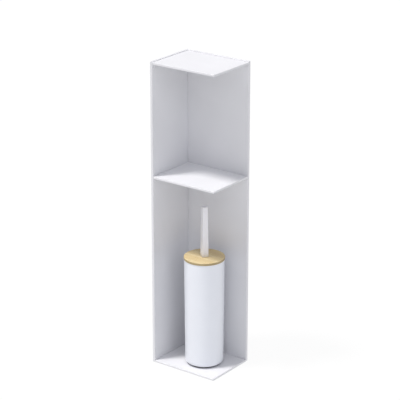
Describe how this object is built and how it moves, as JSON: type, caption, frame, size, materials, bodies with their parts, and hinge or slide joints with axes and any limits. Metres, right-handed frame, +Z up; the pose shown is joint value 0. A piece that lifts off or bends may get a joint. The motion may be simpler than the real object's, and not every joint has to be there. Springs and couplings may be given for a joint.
{
  "type": "toilet brush holder",
  "caption": "Corner stand of folded white steel with open roll shelves, holding a round canister whose wooden lid carries the brush.",
  "frame": {"origin": "on the floor under the middle of the stand's footprint", "axes": "+Z up, +Y towards the wide wall at the back, +X towards the open right side"},
  "size_m": [0.155, 0.12, 0.645],
  "materials": {
    "steel": "fine matt powder coat",
    "screw": "white painted",
    "nut": "zinc plated",
    "pad": "matt",
    "canister": "satin",
    "ring": "matt",
    "bamboo": "fine-grained bamboo, clear matt varnish",
    "moulding": "satin",
    "frosted": "frosted, slightly translucent",
    "bristle": "nylon filament"
  },
  "bodies": {
    "stand": {"back_panel": "steel", "side_panel": "steel", "top_shelf": "steel", "middle_shelf": "steel", "base_shelf": "steel", "top_shelf_screws": "screw", "middle_shelf_screws": "screw", "top_shelf_nuts": "nut", "middle_shelf_nuts": "nut", "foot_front_left": "pad", "foot_front_right": "pad", "foot_back_left": "pad", "foot_back_right": "pad"},
    "canister": {"canister_shell": "canister", "canister_foot_ring": "ring"},
    "brush": {"lid": "bamboo", "lid_plug": "moulding", "lid_screws": "nut", "handle": "frosted", "stem": "moulding", "brush_core": "moulding", "side_bristles": "bristle", "end_bristles": "bristle"}
  },
  "joints": [
    {"name": "canister_slide", "type": "slide", "parent": "stand", "child": "canister", "axis": [0, -1, 0], "range_m": [0, 0.32]},
    {"name": "brush_lift", "type": "slide", "parent": "canister", "child": "brush", "axis": [0, 0, 1], "range_m": [0, 0.224]}
  ],
  "couplings": [
    {"joint": "brush_lift", "follows": "canister_slide", "ratio": 0.7}
  ]
}
